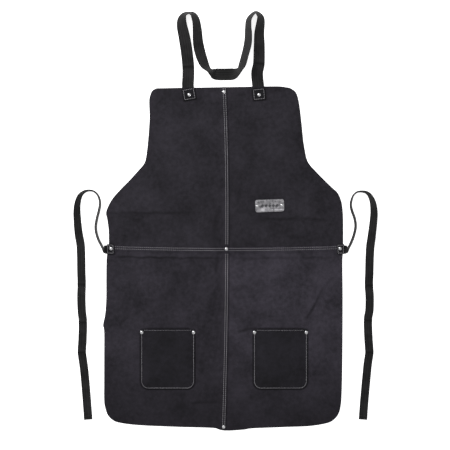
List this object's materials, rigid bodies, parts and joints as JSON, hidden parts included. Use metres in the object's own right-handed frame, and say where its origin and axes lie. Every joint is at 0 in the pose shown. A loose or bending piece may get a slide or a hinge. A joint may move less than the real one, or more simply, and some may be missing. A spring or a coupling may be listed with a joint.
{
  "type": "welding apron",
  "caption": "Split-leather welding apron with a bib, a skirt with patch pockets, riveted seams, a neck strap and waist ties, laid out flat and face up.",
  "frame": {"origin": "middle of the leather apron, on the surface it lies on, under its back", "axes": "+X to the right as seen from the front, +Y from the skirt towards the bib and neck strap, +Z out of the front of the leather"},
  "size_m": [0.7885, 1.0874, 0.0296],
  "materials": {
    "apron_leather": "rough split suede, charcoal with a faint violet cast",
    "patch_leather": "split suede, slightly darker and smoother",
    "webbing": "woven flat webbing, matt black-grey",
    "plate_metal": "brushed and aged, raised rim",
    "rivet_metal": "polished nickel"
  },
  "bodies": {
    "bib": {"bib_panel_left": "apron_leather", "bib_panel_right": "apron_leather", "waist_lap_left": "apron_leather", "waist_lap_right": "apron_leather", "neck_strap_end_left": "webbing", "neck_strap_end_right": "webbing", "left_tie_end": "webbing", "right_tie_end": "webbing", "shoulder_patch_left": "patch_leather", "shoulder_patch_right": "patch_leather", "side_patch_left": "patch_leather", "side_patch_right": "patch_leather", "name_plate": "plate_metal", "rivet_shoulder_left": "rivet_metal", "rivet_shoulder_left_back": "rivet_metal", "rivet_shoulder_right": "rivet_metal", "rivet_shoulder_right_back": "rivet_metal", "rivet_seam_top": "rivet_metal", "rivet_seam_top_back": "rivet_metal", "rivet_waist_middle": "rivet_metal", "rivet_waist_middle_back": "rivet_metal", "rivet_side_left": "rivet_metal", "rivet_side_left_back": "rivet_metal", "rivet_side_right": "rivet_metal", "rivet_side_right_back": "rivet_metal", "rivet_plate_left": "rivet_metal", "rivet_plate_left_back": "rivet_metal", "rivet_plate_right": "rivet_metal", "rivet_plate_right_back": "rivet_metal"},
    "skirt": {"skirt_panel_left": "apron_leather", "skirt_panel_right": "apron_leather", "pocket_left": "patch_leather", "pocket_right": "patch_leather", "rivet_seam_hem": "rivet_metal", "rivet_seam_hem_back": "rivet_metal", "rivet_left_pocket_outer": "rivet_metal", "rivet_left_pocket_outer_back": "rivet_metal", "rivet_left_pocket_inner": "rivet_metal", "rivet_left_pocket_inner_back": "rivet_metal", "rivet_right_pocket_inner": "rivet_metal", "rivet_right_pocket_inner_back": "rivet_metal", "rivet_right_pocket_outer": "rivet_metal", "rivet_right_pocket_outer_back": "rivet_metal"},
    "neck_strap": {"neck_strap": "webbing"},
    "left_tie": {"left_tie": "webbing"},
    "right_tie": {"right_tie": "webbing"}
  },
  "joints": [
    {"name": "waist_fold", "type": "hinge", "parent": "bib", "child": "skirt", "pos_m": [0, 0.009, 0.004], "axis": [-1, 0, 0], "range_deg": [0, 100]},
    {"name": "neck_strap_lift", "type": "hinge", "parent": "bib", "child": "neck_strap", "pos_m": [0, 0.4455, 0.004], "axis": [1, 0, 0], "range_deg": [0, 150]},
    {"name": "left_tie_lift", "type": "hinge", "parent": "bib", "child": "left_tie", "pos_m": [-0.308, 0.0238, 0.007], "axis": [0, 1, 0], "range_deg": [0, 90]},
    {"name": "right_tie_lift", "type": "hinge", "parent": "bib", "child": "right_tie", "pos_m": [0.316, 0.0238, 0.007], "axis": [0, -1, 0], "range_deg": [0, 90]}
  ]
}
